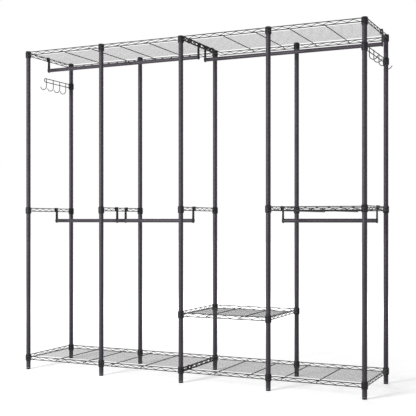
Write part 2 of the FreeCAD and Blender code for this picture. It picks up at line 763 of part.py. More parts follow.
right_rack = [collar_at("hook_rack_right", LAST_ROW, side, "rack") for side in SIDES]
for sign in ("+", "-"):
    bar_z = "%s %s rack_spacing / 2" % (LEVELS["rack"], sign)
    right_rack.append(placed(rack_bar, row_x(LAST_ROW), SIDES["front"], bar_z, QUARTER_TURN))
for share in RIGHT_HOOK_SHARES:
    hook_y = "%s + %s * frame_depth" % (SIDES["front"], share)
    right_rack.append(placed(right_hook, row_x(LAST_ROW), hook_y, LEVELS["rack"]))
node("hook_rack_right", right_rack)

# Split sleeves: two halves under every collar, with their slits facing along the width
for label, places in sleeve_places.items():
    halves = [placed(sleeve_half, *place, turn) for place in places for turn in (0, HALF_TURN)]
    node("sleeves_" + label, halves)

# Every object is sound before any file is written
doc.recompute()
for piece in doc.Objects:
    if "Invalid" in piece.State or "Error" in piece.State:
        raise RuntimeError("%s is %s" % (piece.Label, piece.State))
for part in nodes:
    if part.Shape.isNull() or not part.Shape.isValid() or not part.Shape.Solids:
        raise RuntimeError(part.Label + " has no sound shape")

os.makedirs("parts", exist_ok=True)
for part in nodes:
    Part.makeCompound(part.Shape.Solids).exportStep("parts/%s.step" % part.Label)
    print(part.Label, len(part.Shape.Solids), "solids", round(part.Shape.Volume), "cubic mm")
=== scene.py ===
import bmesh
import bpy
import json
import math
from mathutils import Matrix, Vector


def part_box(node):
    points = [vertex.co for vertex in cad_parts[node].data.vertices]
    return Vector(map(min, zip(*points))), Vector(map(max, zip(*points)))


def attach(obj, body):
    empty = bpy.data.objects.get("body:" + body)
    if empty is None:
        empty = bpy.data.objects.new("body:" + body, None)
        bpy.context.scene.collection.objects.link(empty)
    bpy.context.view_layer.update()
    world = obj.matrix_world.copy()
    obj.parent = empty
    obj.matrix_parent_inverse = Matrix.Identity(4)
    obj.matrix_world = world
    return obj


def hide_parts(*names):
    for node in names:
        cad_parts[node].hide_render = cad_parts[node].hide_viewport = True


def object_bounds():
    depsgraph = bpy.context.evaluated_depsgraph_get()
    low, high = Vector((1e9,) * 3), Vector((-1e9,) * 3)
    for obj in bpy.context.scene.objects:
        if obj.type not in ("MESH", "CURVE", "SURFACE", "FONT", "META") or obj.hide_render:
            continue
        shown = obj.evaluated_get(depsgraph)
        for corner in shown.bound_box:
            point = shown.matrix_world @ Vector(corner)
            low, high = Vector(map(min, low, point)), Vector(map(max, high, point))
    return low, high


# An open frame wardrobe, dressed in satin black: ringed posts, wire shelves on collars, hanging rods on
# clips and two hook racks. Lengths are in metres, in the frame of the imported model.

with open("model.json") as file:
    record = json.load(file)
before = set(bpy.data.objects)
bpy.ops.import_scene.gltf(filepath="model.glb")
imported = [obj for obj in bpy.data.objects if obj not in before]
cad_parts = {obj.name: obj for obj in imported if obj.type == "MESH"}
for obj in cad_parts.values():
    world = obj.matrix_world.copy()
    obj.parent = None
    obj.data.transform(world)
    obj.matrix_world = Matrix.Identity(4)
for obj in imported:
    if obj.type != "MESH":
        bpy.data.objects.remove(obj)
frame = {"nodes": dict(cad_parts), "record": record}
cad_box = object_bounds()

FIRST_ROW, MIDDLE_ROW, LAST_ROW = 1, 3, 5
ROWS = range(FIRST_ROW, LAST_ROW + 1)
SIDES = ("front", "rear")
OUTWARD = {"front": -1, "rear": 1, "left": -1, "right": 1}
TWO_BAY_SHELVES = ("shelf_top_left", "shelf_bottom_left")
JOINED_SHELVES = ("shelf_top_right", "shelf_bottom_right")
ONE_BAY_SHELVES = {"shelf_low_bay_3": 3, "shelf_middle_bay_4": 4}
LOW_HUNG_DECKS = ("shelf_middle_bay_4",)
SIDE_FRAMES = {"side_frame_%d" % row: row for row in range(FIRST_ROW, MIDDLE_ROW + 1)}
RODS = ("top_left", "top_right", "bay_1", "bay_2", "bay_4")
CROSSED_RODS = ("top_right",)

# Posts, caps, feet and inserts
TUBES_PER_POST = 3
POST_WALL = 0.0012
GROOVE_PITCH = 0.026
GROOVE_WIDTH = 0.002
GROOVE_DEPTH = 0.0005
GROOVE_MARGIN = 0.008
GROOVE_FLAT_SHARE = 0.3
GROOVE_STEEP_SHARE = 0.75
SEAM_EDGE = 0.0004
CAP_EDGE = 0.0022
CAP_PLUG_LENGTH = 0.014
FOOT_HEIGHT = 0.010
FOOT_EDGE = 0.0015
FOOT_GRIP_HEIGHT = 0.004
FOOT_GRIP_DEPTH = 0.0007
STEM_DIAMETER = 0.008
INSERT_FLANGE = 0.0015
INSERT_DEPTH = 0.020

# Collars and split sleeves
COLLAR_HEIGHT = 0.040
COLLAR_WALL = 0.0027
COLLAR_CHAMFER = 0.006
COLLAR_LIP = 0.0009
COLLAR_TAPER = 0.00075
COLLAR_SOFTNESS = 0.0022
COLLAR_INSET = 0.0001
SLEEVE_WALL_TOP = 0.00055
SLEEVE_WALL_BOTTOM = 0.00115
SLEEVE_FIT = 0.00005
SLEEVE_SLIT = math.radians(8)

# Trusses and decks
FRAME_WIRE = 0.005
TRUSS_SPACING = 0.018
TRUSS_RISE = 0.005
TRUSS_OFFSET = 0.010
LONG_TRUSS_DROP = 0.003
SNAKE_WIRE = 0.003
SNAKE_PITCH = 0.064
SNAKE_BEND = 0.006
SNAKE_MARGIN = 0.004
WELD_SINK = 0.0005
WELD_BEAD = 0.0012
WELD_LENGTH = 0.006
DECK_WIRE = 0.002
DECK_PITCH = 0.023
DECK_MARGIN = 0.092
RIB_PITCH = 0.195
RIB_SHIFTS = {"shelf_top_left": 0.018, "shelf_top_right": 0.018, "shelf_bottom_left": -0.018,
              "shelf_bottom_right": -0.018, "shelf_low_bay_3": 0, "shelf_middle_bay_4": 0}
RIBS_PER_BAY = 2
RIB_END_FLAT = 0.008
RIB_END_RUN = 0.012
RIB_BEND = 0.008
SEAM_GAP = 0.00005

# Staples that hang the right shelves on the left ones
JOINT_GAP = 0.00035
JOINT_HOOK_WIDTH = 0.018
JOINT_HOOK_PLATE = 0.0025
JOINT_HOOK_GAPS = 6.5
JOINT_HOOK_EDGE = 0.0006

# Hanging rods and their clips
ROD_WALL = 0.0012
ROD_EDGE = 0.0004
CLIP_FIT = 0.0003
CLIP_WIDTH = 0.018
CLIP_BRIDGE = 0.003
CLIP_OUTER_LEG = 0.0035
CLIP_PLATE = 0.006
CLIP_EDGE = 0.0007
CLIP_EDGE_STEPS = 2
NECK_TOP_WIDTH = 0.018
NECK_BOTTOM_WIDTH = 0.020
SEAT_RIM = 0.003
BOSS_LENGTH = 0.012
ROD_FIT = 0.0001

# Hook racks
RACK_WIRE = 0.005
RACK_SPACING = 0.022
RACK_LENGTH = 0.294
RACK_END_FLAT = 0.004
HOOK_WIRE = 0.0045
HOOK_DROP = 0.068
HOOK_BEND = 0.020
HOOK_FLAT = 0.002
HOOK_TIP = 0.010
HOOK_TIP_ANGLE = math.radians(55)
LEFT_HOOK_SHARES = (0.19, 0.42, 0.66, 0.91)
RIGHT_HOOK_SHARES = (0.17, 0.37, 0.61, 0.86)

# How finely round things are drawn
POST_SIDES = 40
ROUND_SIDES = 40
WIRE_SIDES = 14
THIN_WIRE_SIDES = 10
BEND_STEPS = 5
DOME_STEPS = 3
CORNER_STEPS = 4
CORNER_MOST_SHARE = 0.45
SMOOTH_ANGLE = math.radians(40)

QUARTER_TURN = math.pi / 2
HALF_TURN = math.pi
TINY = 1e-9

record = frame["record"]
BODY_OF = {node: body for body, nodes in record["behaviour"]["bodies"].items() for node in nodes}


# Places read from the frame

def middle(node):
    low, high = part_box(node)
    return (low + high) / 2


ROW_X = {row: middle("post_front_%d" % row).x for row in ROWS}
SIDE_Y = {side: middle("post_%s_1" % side).y for side in SIDES}
BAY = ROW_X[2] - ROW_X[1]
DEPTH = SIDE_Y["rear"] - SIDE_Y["front"]
POST_LOW, POST_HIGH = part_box("post_front_1")
POST_RADIUS = (POST_HIGH.x - POST_LOW.x) / 2
COLLAR_RADIUS = middle("side_frame_1").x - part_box("side_frame_1")[0].x - COLLAR_INSET
COLLAR_BORE = COLLAR_RADIUS - COLLAR_WALL
LONG_TRUSS_OFFSET = COLLAR_RADIUS + FRAME_WIRE / 2 + SEAM_GAP


def level(node):
    """The middle height of the collars of a node."""
    return middle("sleeves_" + node).z


# Meshes gathered from simple solids

class Shape:
    """Points and faces of one mesh, with a material number for each face."""

    def __init__(self):
        self.points, self.faces, self.numbers = [], [], []

    def add(self, solid, place=Matrix(), number=0):
        points, faces = solid
        first = len(self.points)
        self.points += [place @ point for point in points]
        self.faces += [[first + corner for corner in face] for face in faces]
        self.numbers += [number] * len(faces)

    def mesh(self, name):
        mesh = bpy.data.meshes.new(name)
        mesh.from_pydata(self.points, [], self.faces)
        mesh.polygons.foreach_set("material_index", self.numbers)
        fix_normals(mesh)
        return mesh


def fix_normals(mesh):
    bm = bmesh.new()
    bm.from_mesh(mesh)
    bmesh.ops.recalc_face_normals(bm, faces=bm.faces)
    bm.to_mesh(mesh)
    bm.free()
    mesh.shade_smooth()
    mesh.set_sharp_from_angle(angle=SMOOTH_ANGLE)


def softened(outline, radius):
    """A closed outline with each corner right of the axis turned into a short curve. The others stay."""
    count = len(outline)
    curve = []
    for k, corner in enumerate(outline):
        corner = Vector(corner)
        if corner.x < TINY:
            curve.append(corner)
            continue
        before, after = Vector(outline[k - 1]), Vector(outline[(k + 1) % count])
        start = corner + (before - corner) * min(CORNER_MOST_SHARE, radius / (before - corner).length)
        end = corner + (after - corner) * min(CORNER_MOST_SHARE, radius / (after - corner).length)
        for step in range(CORNER_STEPS + 1):
            share = step / CORNER_STEPS
            curve.append(start.lerp(corner, share).lerp(corner.lerp(end, share), share))
    return curve


def turned(outline, sides=ROUND_SIDES, sweep=math.tau):
    """A closed outline of radii and heights, turned about Z."""
    whole = sweep > math.tau - TINY
    steps = sides if whole else sides + 1
    points, rings = [], []
    for radius, height in (tuple(corner) for corner in outline):
        if radius < TINY:
            rings.append([len(points)] * steps)
            points.append(Vector((0, 0, height)))
            continue
        rings.append(range(len(points), len(points) + steps))
        for step in range(steps):
            angle = sweep * step / sides
            points.append(Vector((radius * math.cos(angle), radius * math.sin(angle), height)))
    faces = []
    for ring, following in zip(rings, rings[1:] + rings[:1]):
        for step in range(sides):
            ahead = (step + 1) % steps
            corners = [ring[step], ring[ahead], following[ahead], following[step]]
            face = list(dict.fromkeys(corners))
            if len(face) > 2:
                faces.append(face)
    if not whole:
        faces.append([ring[0] for ring in rings])
        faces.append([ring[-1] for ring in rings])
    return points, faces


def bent(points, bend):
    """Straight runs through points with an arc at each corner."""
    points = [Vector(point) for point in points]
    path = [points[0]]
    for before, corner, after in zip(points, points[1:], points[2:]):
        into, out = (corner - before).normalized(), (after - corner).normalized()
        turn = into.angle(out)
        inward = (out - into).normalized()
        centre = corner + inward * bend / math.cos(turn / 2)
        axis = into.cross(out).normalized()
        start = corner - into * bend * math.tan(turn / 2) - centre
        for step in range(BEND_STEPS + 1):
            path.append(centre + Matrix.Rotation(turn * step / BEND_STEPS, 3, axis) @ start)
    return path + [points[-1]]


def wire(path, diameter, sides=WIRE_SIDES):
    """A round wire along a path, with domed ends."""
    path = [Vector(point) for point in path]
    runs = [(after - before).normalized() for before, after in zip(path, path[1:])]
    headings = [runs[0]] + [(a + b).normalized() for a, b in zip(runs, runs[1:])] + [runs[-1]]
    radius = diameter / 2
    stations = []
    for step in range(DOME_STEPS, 0, -1):
        angle = QUARTER_TURN * step / (DOME_STEPS + 1)
        end = path[0] - headings[0] * radius * math.sin(angle)
        stations.append((end, headings[0], radius * math.cos(angle)))
    stations += [(point, heading, radius) for point, heading in zip(path, headings)]
    for step in range(1, DOME_STEPS + 1):
        angle = QUARTER_TURN * step / (DOME_STEPS + 1)
        end = path[-1] + headings[-1] * radius * math.sin(angle)
        stations.append((end, headings[-1], radius * math.cos(angle)))
    across = headings[0].orthogonal().normalized()
    points, faces = [], []
    for place, heading, size in stations:
        across = (across - heading * across.dot(heading)).normalized()
        up = heading.cross(across)
        for side in range(sides):
            angle = math.tau * side / sides
            points.append(place + (across * math.cos(angle) + up * math.sin(angle)) * size)
    for station in range(len(stations) - 1):
        for side in range(sides):
            here, ahead = station * sides + side, station * sides + (side + 1) % sides
            faces.append([here, ahead, ahead + sides, here + sides])
    last = (len(stations) - 1) * sides
    for first, end, heading in ((0, path[0], -headings[0]), (last, path[-1], headings[-1])):
        pole = len(points)
        points.append(end + heading * radius)
        faces += [[first + side, first + (side + 1) % sides, pole] for side in range(sides)]
    return points, faces


def extruded(outline, thickness):
    """A closed outline of X and Y, as thick as given about Z 0."""
    count = len(outline)
    points = [Vector((x, y, z)) for z in (-thickness / 2, thickness / 2) for x, y in outline]
    faces = [list(range(count)), list(range(count, 2 * count))]
    faces += [[k, (k + 1) % count, count + (k + 1) % count, count + k] for k in range(count)]
    return points, faces


def at(x=0, y=0, z=0, turn=0):
    """A place, turned about Z."""
    return Matrix.Translation((x, y, z)) @ Matrix.Rotation(turn, 4, "Z")


# Materials

COAT_SPECULAR = 0.16
WORN_EDGE = (0.09, 0.086, 0.095, 1)
WORN_FROM, WORN_TO = 0.52, 0.62
CLOUD_SCALE, CLOUD_DETAIL = 9, 4
SMUDGE_SCALE, SMUDGE_DETAIL = 24, 3
SMUDGE_SMOOTHER, SMUDGE_ROUGHER = 0.05, 0.06
GRAIN_DETAIL = 2
GRAIN_STRENGTH = 0.5
PLATING = (0.55, 0.55, 0.56, 1)
DRAWN_SCALE, DRAWN_DETAIL = 600, 3
DRAWN_SMOOTHEST, DRAWN_ROUGHEST = 0.25, 0.4
NOISE_FROM, NOISE_TO = 0.3, 0.7


def material(name):
    made = bpy.data.materials.new(name)
    made.use_nodes = True
    nodes, links = made.node_tree.nodes, made.node_tree.links
    shader = nodes["Principled BSDF"]
    return made, nodes, links, shader


def noise(nodes, links, where, scale, detail):
    texture = nodes.new("ShaderNodeTexNoise")
    texture.inputs["Scale"].default_value = scale
    texture.inputs["Detail"].default_value = detail
    links.new(where.outputs["Object"], texture.inputs["Vector"])
    return texture


def spread(nodes, links, source, low, high):
    """A texture's value, mapped to run from low to high."""
    mapped = nodes.new("ShaderNodeMapRange")
    mapped.inputs["From Min"].default_value = NOISE_FROM
    mapped.inputs["From Max"].default_value = NOISE_TO
    mapped.inputs["To Min"].default_value = low
    mapped.inputs["To Max"].default_value = high
    links.new(source, mapped.inputs["Value"])
    return mapped.outputs["Result"]


def coating(name, dark, light, rough, grain, grain_depth, wear):
    """Powder coat or moulded plastic: clouded colour, a fine grain in the surface and rubbed edges."""
    made, nodes, links, shader = material(name)
    shader.inputs["Specular IOR Level"].default_value = COAT_SPECULAR
    where = nodes.new("ShaderNodeTexCoord")
    clouds = noise(nodes, links, where, CLOUD_SCALE, CLOUD_DETAIL)
    fine = noise(nodes, links, where, grain, GRAIN_DETAIL)
    smudges = noise(nodes, links, where, SMUDGE_SCALE, SMUDGE_DETAIL)
    tone = nodes.new("ShaderNodeMix")
    tone.data_type = "RGBA"
    tone.inputs["A"].default_value = (*dark, 1)
    tone.inputs["B"].default_value = (*light, 1)
    links.new(spread(nodes, links, clouds.outputs["Fac"], 0, 1), tone.inputs["Factor"])
    colour = tone.outputs["Result"]
    if wear:
        edges = nodes.new("ShaderNodeNewGeometry")
        rubbed = nodes.new("ShaderNodeMapRange")
        rubbed.inputs["From Min"].default_value = WORN_FROM
        rubbed.inputs["From Max"].default_value = WORN_TO
        rubbed.inputs["To Max"].default_value = wear
        links.new(edges.outputs["Pointiness"], rubbed.inputs["Value"])
        worn = nodes.new("ShaderNodeMix")
        worn.data_type = "RGBA"
        worn.inputs["B"].default_value = WORN_EDGE
        links.new(rubbed.outputs["Result"], worn.inputs["Factor"])
        links.new(colour, worn.inputs["A"])
        colour = worn.outputs["Result"]
    links.new(colour, shader.inputs["Base Color"])
    smoothest, roughest = rough - SMUDGE_SMOOTHER, rough + SMUDGE_ROUGHER
    roughness = spread(nodes, links, smudges.outputs["Fac"], smoothest, roughest)
    links.new(roughness, shader.inputs["Roughness"])
    bump = nodes.new("ShaderNodeBump")
    bump.inputs["Strength"].default_value = GRAIN_STRENGTH
    bump.inputs["Distance"].default_value = grain_depth
    links.new(fine.outputs["Fac"], bump.inputs["Height"])
    links.new(bump.outputs["Normal"], shader.inputs["Normal"])
    return made


def plated(name):
    """Zinc-plated steel with fine drawn lines."""
    made, nodes, links, shader = material(name)
    where = nodes.new("ShaderNodeTexCoord")
    lines = noise(nodes, links, where, DRAWN_SCALE, DRAWN_DETAIL)
    shader.inputs["Base Color"].default_value = PLATING
    shader.inputs["Metallic"].default_value = 1
    roughness = spread(nodes, links, lines.outputs["Fac"], DRAWN_SMOOTHEST, DRAWN_ROUGHEST)
    links.new(roughness, shader.inputs["Roughness"])
    return made


# Dark and light tone, roughness, grain scale and depth, and wear of each coat
POST_COAT = coating("post_coat", (0.022, 0.0165, 0.025), (0.031, 0.0245, 0.034), 0.42, 900, 0.00006, 0.4)
WIRE_COAT = coating("wire_coat", (0.012, 0.012, 0.013), (0.019, 0.018, 0.020), 0.5, 900, 0.00004, 0)
COLLAR_COAT = coating("collar_coat", (0.0105, 0.0085, 0.012), (0.0155, 0.013, 0.017), 0.5, 900, 0.00006, 0.2)
CLIP_PLASTIC = coating("clip_plastic", (0.009, 0.009, 0.010), (0.014, 0.014, 0.015), 0.5, 1500, 0.00008, 0.2)
CAP_PLASTIC = coating("cap_plastic", (0.009, 0.009, 0.010), (0.014, 0.014, 0.015), 0.5, 1500, 0.00008, 0.2)
FOOT_PLASTIC = coating("foot_plastic", (0.008, 0.008, 0.009), (0.013, 0.013, 0.014), 0.55, 1200, 0.0001, 0.2)
SLEEVE_PLASTIC = coating("sleeve_plastic", (0.010, 0.010, 0.011), (0.015, 0.015, 0.016), 0.5, 1500, 6e-5, 0)
INSERT_PLASTIC = coating("insert_plastic", (0.26, 0.25, 0.26), (0.34, 0.33, 0.34), 0.5, 1500, 0.00006, 0)
STUD_STEEL = plated("stud_steel")


# Pieces that stand for the nodes of the frame

def piece(node, mesh, *materials):
    made = bpy.data.objects.new(node + "_finished", mesh)
    bpy.context.scene.collection.objects.link(made)
    for one in materials:
        mesh.materials.append(one)
    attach(made, BODY_OF[node])
    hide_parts(node)
    return made


# Posts: three tubes with rolled rings, counted from the level that the tube's own collars sit at

def tube_outline(bottom, top, ring_level):
    outer, inner = POST_RADIUS, POST_RADIUS - POST_WALL
    outline = [(inner, bottom), (outer - SEAM_EDGE, bottom), (outer, bottom + SEAM_EDGE)]
    rings_below = math.floor((ring_level - bottom - GROOVE_MARGIN) / GROOVE_PITCH)
    ring = ring_level - rings_below * GROOVE_PITCH
    while ring < top - GROOVE_MARGIN:
        half, flat = GROOVE_WIDTH / 2, GROOVE_WIDTH / 2 * GROOVE_FLAT_SHARE
        between = (half + flat) / 2
        steep = GROOVE_DEPTH * GROOVE_STEEP_SHARE
        outline += [(outer, ring - half), (outer - steep, ring - between)]
        outline += [(outer - GROOVE_DEPTH, ring - flat), (outer - GROOVE_DEPTH, ring + flat)]
        outline += [(outer - steep, ring + between), (outer, ring + half)]
        ring += GROOVE_PITCH
    return outline + [(outer, top - SEAM_EDGE), (outer - SEAM_EDGE, top), (inner, top)]


ring_levels = (level("shelf_bottom_left"), level("side_frame_1"), level("shelf_top_left"))
tube_length = (POST_HIGH.z - POST_LOW.z) / TUBES_PER_POST
tubes = []
for number, ring_level in enumerate(ring_levels):
    bottom = POST_LOW.z + number * tube_length
    tubes.append(turned(tube_outline(bottom, bottom + tube_length, ring_level), POST_SIDES))
for side in SIDES:
    for row in ROWS:
        post = Shape()
        for tube in tubes:
            post.add(tube, at(ROW_X[row], SIDE_Y[side]))
        node = "post_%s_%d" % (side, row)
        piece(node, post.mesh(node), POST_COAT)

# Caps, feet and inserts at the ends of the posts
plug_radius = POST_RADIUS - POST_WALL - SEAM_GAP
crown = cad_box[1].z - POST_HIGH.z
cap = turned(softened([
    (0, -CAP_PLUG_LENGTH), (plug_radius, -CAP_PLUG_LENGTH), (plug_radius, 0), (POST_RADIUS, 0),
    (POST_RADIUS, crown), (0, crown)], CAP_EDGE))
foot_low, foot_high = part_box("foot_front_1")
foot_radius = (foot_high.x - foot_low.x) / 2
grip_low = (FOOT_HEIGHT - FOOT_GRIP_HEIGHT) / 2
foot = turned(softened([
    (0, 0), (foot_radius, 0), (foot_radius, grip_low),
    (foot_radius - FOOT_GRIP_DEPTH, grip_low + FOOT_GRIP_DEPTH),
    (foot_radius - FOOT_GRIP_DEPTH, grip_low + FOOT_GRIP_HEIGHT - FOOT_GRIP_DEPTH),
    (foot_radius, grip_low + FOOT_GRIP_HEIGHT), (foot_radius, FOOT_HEIGHT),
    (STEM_DIAMETER / 2, FOOT_HEIGHT), (STEM_DIAMETER / 2, foot_high.z), (0, foot_high.z)], FOOT_EDGE))
insert = turned([
    (STEM_DIAMETER / 2, FOOT_HEIGHT), (POST_RADIUS, FOOT_HEIGHT), (POST_RADIUS, FOOT_HEIGHT + INSERT_FLANGE),
    (plug_radius, FOOT_HEIGHT + INSERT_FLANGE), (plug_radius, FOOT_HEIGHT + INSERT_DEPTH),
    (STEM_DIAMETER / 2, FOOT_HEIGHT + INSERT_DEPTH)])
caps, inserts = Shape(), Shape()
for side in SIDES:
    for row in ROWS:
        caps.add(cap, at(ROW_X[row], SIDE_Y[side], POST_HIGH.z))
        inserts.add(insert, at(ROW_X[row], SIDE_Y[side]))
        one_foot = Shape()
        one_foot.add(foot, at(ROW_X[row], SIDE_Y[side]))
        node = "foot_%s_%d" % (side, row)
        piece(node, one_foot.mesh(node), FOOT_PLASTIC)
piece("post_caps", caps.mesh("post_caps"), CAP_PLASTIC)
piece("foot_inserts", inserts.mesh("foot_inserts"), INSERT_PLASTIC)

# The studs inside the posts keep the mesh of their solids
frame["nodes"]["joining_studs"].data.materials.clear()
frame["nodes"]["joining_studs"].data.materials.append(STUD_STEEL)

# Collars and the wires that are welded to them
collar = turned(softened([
    (COLLAR_BORE, -COLLAR_HEIGHT / 2), (COLLAR_BORE + COLLAR_LIP, -COLLAR_HEIGHT / 2),
    (COLLAR_RADIUS, COLLAR_CHAMFER - COLLAR_HEIGHT / 2), (COLLAR_RADIUS, COLLAR_HEIGHT / 2 - COLLAR_CHAMFER),
    (COLLAR_BORE + COLLAR_LIP, COLLAR_HEIGHT / 2), (COLLAR_BORE - COLLAR_TAPER, COLLAR_HEIGHT / 2)],
    COLLAR_SOFTNESS))
WIRE_NUMBER, COLLAR_NUMBER = 0, 1


def reach_from_post(radius, aside):
    """How far along a wire that passes a post at a distance a circle round the post lies."""
    return math.sqrt(radius ** 2 - aside ** 2)


def weld(shape, x, y, z, diameter, place):
    """A small bead round a wire along X, where it meets a collar."""
    radius = diameter / 2 + WELD_BEAD
    half = WELD_LENGTH / 2
    angles = [HALF_TURN * step / (2 * CORNER_STEPS) for step in range(2 * CORNER_STEPS + 1)]
    bead = turned([(radius * math.sin(angle), -half * math.cos(angle)) for angle in angles], WIRE_SIDES)
    lengthwise = Matrix.Rotation(QUARTER_TURN, 4, "Y")
    shape.add(bead, place @ Matrix.Translation((x, y, z)) @ lengthwise, WIRE_NUMBER)


def truss(shape, start, end, collars, place, aside=None, toward_posts=0):
    """Two wires along X and a snaking wire between them, welded to the collars at its ends. The wires pass
    by the collars, or end at them where the posts lie aside by a distance."""
    half = TRUSS_SPACING / 2
    clear = COLLAR_RADIUS + SNAKE_MARGIN
    first = start + (clear if start in collars else SNAKE_MARGIN)
    last = end - (clear if end in collars else SNAKE_MARGIN)
    waves = round((last - first) / (SNAKE_PITCH / 2))
    step = (last - first) / waves
    apex = half - FRAME_WIRE / 2 - SNAKE_WIRE / 2 + WELD_SINK
    slope = math.atan2(2 * apex, step)
    corner = apex + SNAKE_BEND * (1 / math.cos(slope) - 1)
    peaks = [(first + k * step, 0, -corner if k % 2 else corner) for k in range(waves + 1)]
    shape.add(wire(bent(peaks, SNAKE_BEND), SNAKE_WIRE, THIN_WIRE_SIDES), place)
    passing = aside is None
    sunk = 0 if passing else reach_from_post(COLLAR_RADIUS, aside)
    weld_x = WELD_LENGTH / 2 if passing else sunk
    weld_y = toward_posts * WELD_BEAD
    dome = FRAME_WIRE / 2
    left = start + (sunk if start in collars else dome)
    right = end - (sunk if end in collars else dome)
    for z in (half, -half):
        shape.add(wire([(left, 0, z), (right, 0, z)], FRAME_WIRE), place)
        for x in collars:
            weld(shape, x + weld_x if x == start else x - weld_x, weld_y, z, FRAME_WIRE, place)


def rib_path(x, reach, height, end_drop):
    """A wire across the shelf, joggled down at both ends to the wires that it is welded to."""
    if not end_drop:
        return [(x, -reach, height), (x, reach, height)]
    flat = reach - RIB_END_FLAT
    run = flat - RIB_END_RUN
    places = ((-reach, end_drop), (-flat, end_drop), (-run, 0), (run, 0), (flat, end_drop), (reach, end_drop))
    return bent([(x, y, height - drop) for y, drop in places], RIB_BEND)


def deck(shape, node, start, end, ribs, place):
    """Fine wires along X on ribs that are welded to the lower wires of the long trusses."""
    below = node in LOW_HUNG_DECKS
    rib_rise = FRAME_WIRE + SEAM_GAP
    rib_z = (-rib_rise - LONG_TRUSS_DROP if below else rib_rise) - TRUSS_SPACING / 2
    wire_z = rib_z + (FRAME_WIRE + DECK_WIRE) / 2 + (SEAM_GAP if below else -WELD_SINK)
    end_gap = SEAM_GAP + (FRAME_WIRE if below else SNAKE_WIRE) / 2
    left = start + end_gap + DECK_WIRE / 2
    right = end - end_gap - DECK_WIRE / 2
    truss_y = DEPTH / 2 + LONG_TRUSS_OFFSET
    each_side = math.ceil((truss_y - DECK_MARGIN) / DECK_PITCH)
    for k in range(-each_side, each_side + 1):
        y = k * DECK_PITCH
        shape.add(wire([(left, y, wire_z), (right, y, wire_z)], DECK_WIRE, THIN_WIRE_SIDES), place)
    first_rib = (end - TRUSS_OFFSET) / 2 + RIB_SHIFTS[node] - (ribs - 1) * RIB_PITCH / 2
    rib_end = truss_y - FRAME_WIRE / 2 - (0 if below else end_gap)
    end_drop = 0 if below else LONG_TRUSS_DROP
    for k in range(ribs):
        shape.add(wire(rib_path(first_rib + k * RIB_PITCH, rib_end, rib_z, end_drop), FRAME_WIRE), place)


def collars_on(shape, rows, sides, height):
    for row in rows:
        for side in sides:
            shape.add(collar, at(ROW_X[row], SIDE_Y[side], height), COLLAR_NUMBER)


joint = COLLAR_RADIUS + COLLAR_INSET + JOINT_GAP + FRAME_WIRE / 2


def joint_staple():
    """A bent plate over the upper wires of two trusses side by side, drawn in X and height."""
    seat = FRAME_WIRE / 2 + SEAM_GAP
    side = FRAME_WIRE / 2 + CLIP_FIT
    reach = joint - TRUSS_OFFSET + side
    bottom = -TRUSS_SPACING - FRAME_WIRE / 2
    outline = softened([
        (-side - JOINT_HOOK_PLATE, bottom), (-side, bottom), (-side, seat), (reach, seat), (reach, bottom),
        (reach + JOINT_HOOK_PLATE, bottom), (reach + JOINT_HOOK_PLATE, seat + JOINT_HOOK_PLATE),
        (-side - JOINT_HOOK_PLATE, seat + JOINT_HOOK_PLATE)], JOINT_HOOK_EDGE)
    points, faces = extruded(outline, JOINT_HOOK_WIDTH)
    return [Vector((point.x, point.z, point.y)) for point in points], faces


def end_truss(shape, row, side, truss_z):
    """A truss from front to rear, outside the posts of a row."""
    x = ROW_X[row] + OUTWARD[side] * TRUSS_OFFSET
    place = at(x, SIDE_Y["front"], truss_z, QUARTER_TURN)
    truss(shape, 0, DEPTH, (0, DEPTH), place, TRUSS_OFFSET)


def shelf(node, first_row, last_row, joined):
    shape = Shape()
    height = level(node)
    truss_z = height + TRUSS_RISE
    first_x, last_x = ROW_X[first_row], ROW_X[last_row]
    for side in SIDES:
        truss_y = SIDE_Y[side] + OUTWARD[side] * LONG_TRUSS_OFFSET
        inward = -OUTWARD[side]
        for row in range(first_row, last_row):
            place = at(ROW_X[row], truss_y, truss_z - LONG_TRUSS_DROP)
            if joined and row == first_row:
                truss(shape, joint + FRAME_WIRE / 2, BAY, (BAY,), place, toward_posts=inward)
            else:
                truss(shape, 0, BAY, (0, BAY), place, toward_posts=inward)
    first_collar = first_row + 1 if joined else first_row
    collars_on(shape, range(first_collar, last_row + 1), SIDES, height)
    end_truss(shape, last_row, "right", truss_z)
    ribs = RIBS_PER_BAY * (last_row - first_row)
    length = last_x - first_x + TRUSS_OFFSET
    if joined:
        past_truss = LONG_TRUSS_OFFSET + FRAME_WIRE / 2
        place = at(first_x + joint, SIDE_Y["front"], truss_z, QUARTER_TURN)
        truss(shape, -past_truss, DEPTH + past_truss, (), place)
        deck(shape, node, joint, length, ribs, at(first_x, 0, truss_z))
        for sign in (-1, 1):
            staple_y = sign * JOINT_HOOK_GAPS * DECK_PITCH
            shape.add(joint_staple(), at(first_x + TRUSS_OFFSET, staple_y, truss_z + TRUSS_SPACING / 2))
    else:
        end_truss(shape, first_row, "left", truss_z)
        deck(shape, node, -TRUSS_OFFSET, length, ribs, at(first_x, 0, truss_z))
    piece(node, shape.mesh(node), WIRE_COAT, COLLAR_COAT)


for node in TWO_BAY_SHELVES:
    shelf(node, FIRST_ROW, MIDDLE_ROW, False)
for node in JOINED_SHELVES:
    shelf(node, MIDDLE_ROW, LAST_ROW, True)
for node, row in ONE_BAY_SHELVES.items():
    shelf(node, row, row + 1, False)
for node, row in SIDE_FRAMES.items():
    side_frame = Shape()
    place = at(ROW_X[row], SIDE_Y["front"], level(node) + TRUSS_RISE, QUARTER_TURN)
    truss(side_frame, 0, DEPTH, (0, DEPTH), place, 0)
    collars_on(side_frame, (row,), SIDES, level(node))
    piece(node, side_frame.mesh(node), WIRE_COAT, COLLAR_COAT)

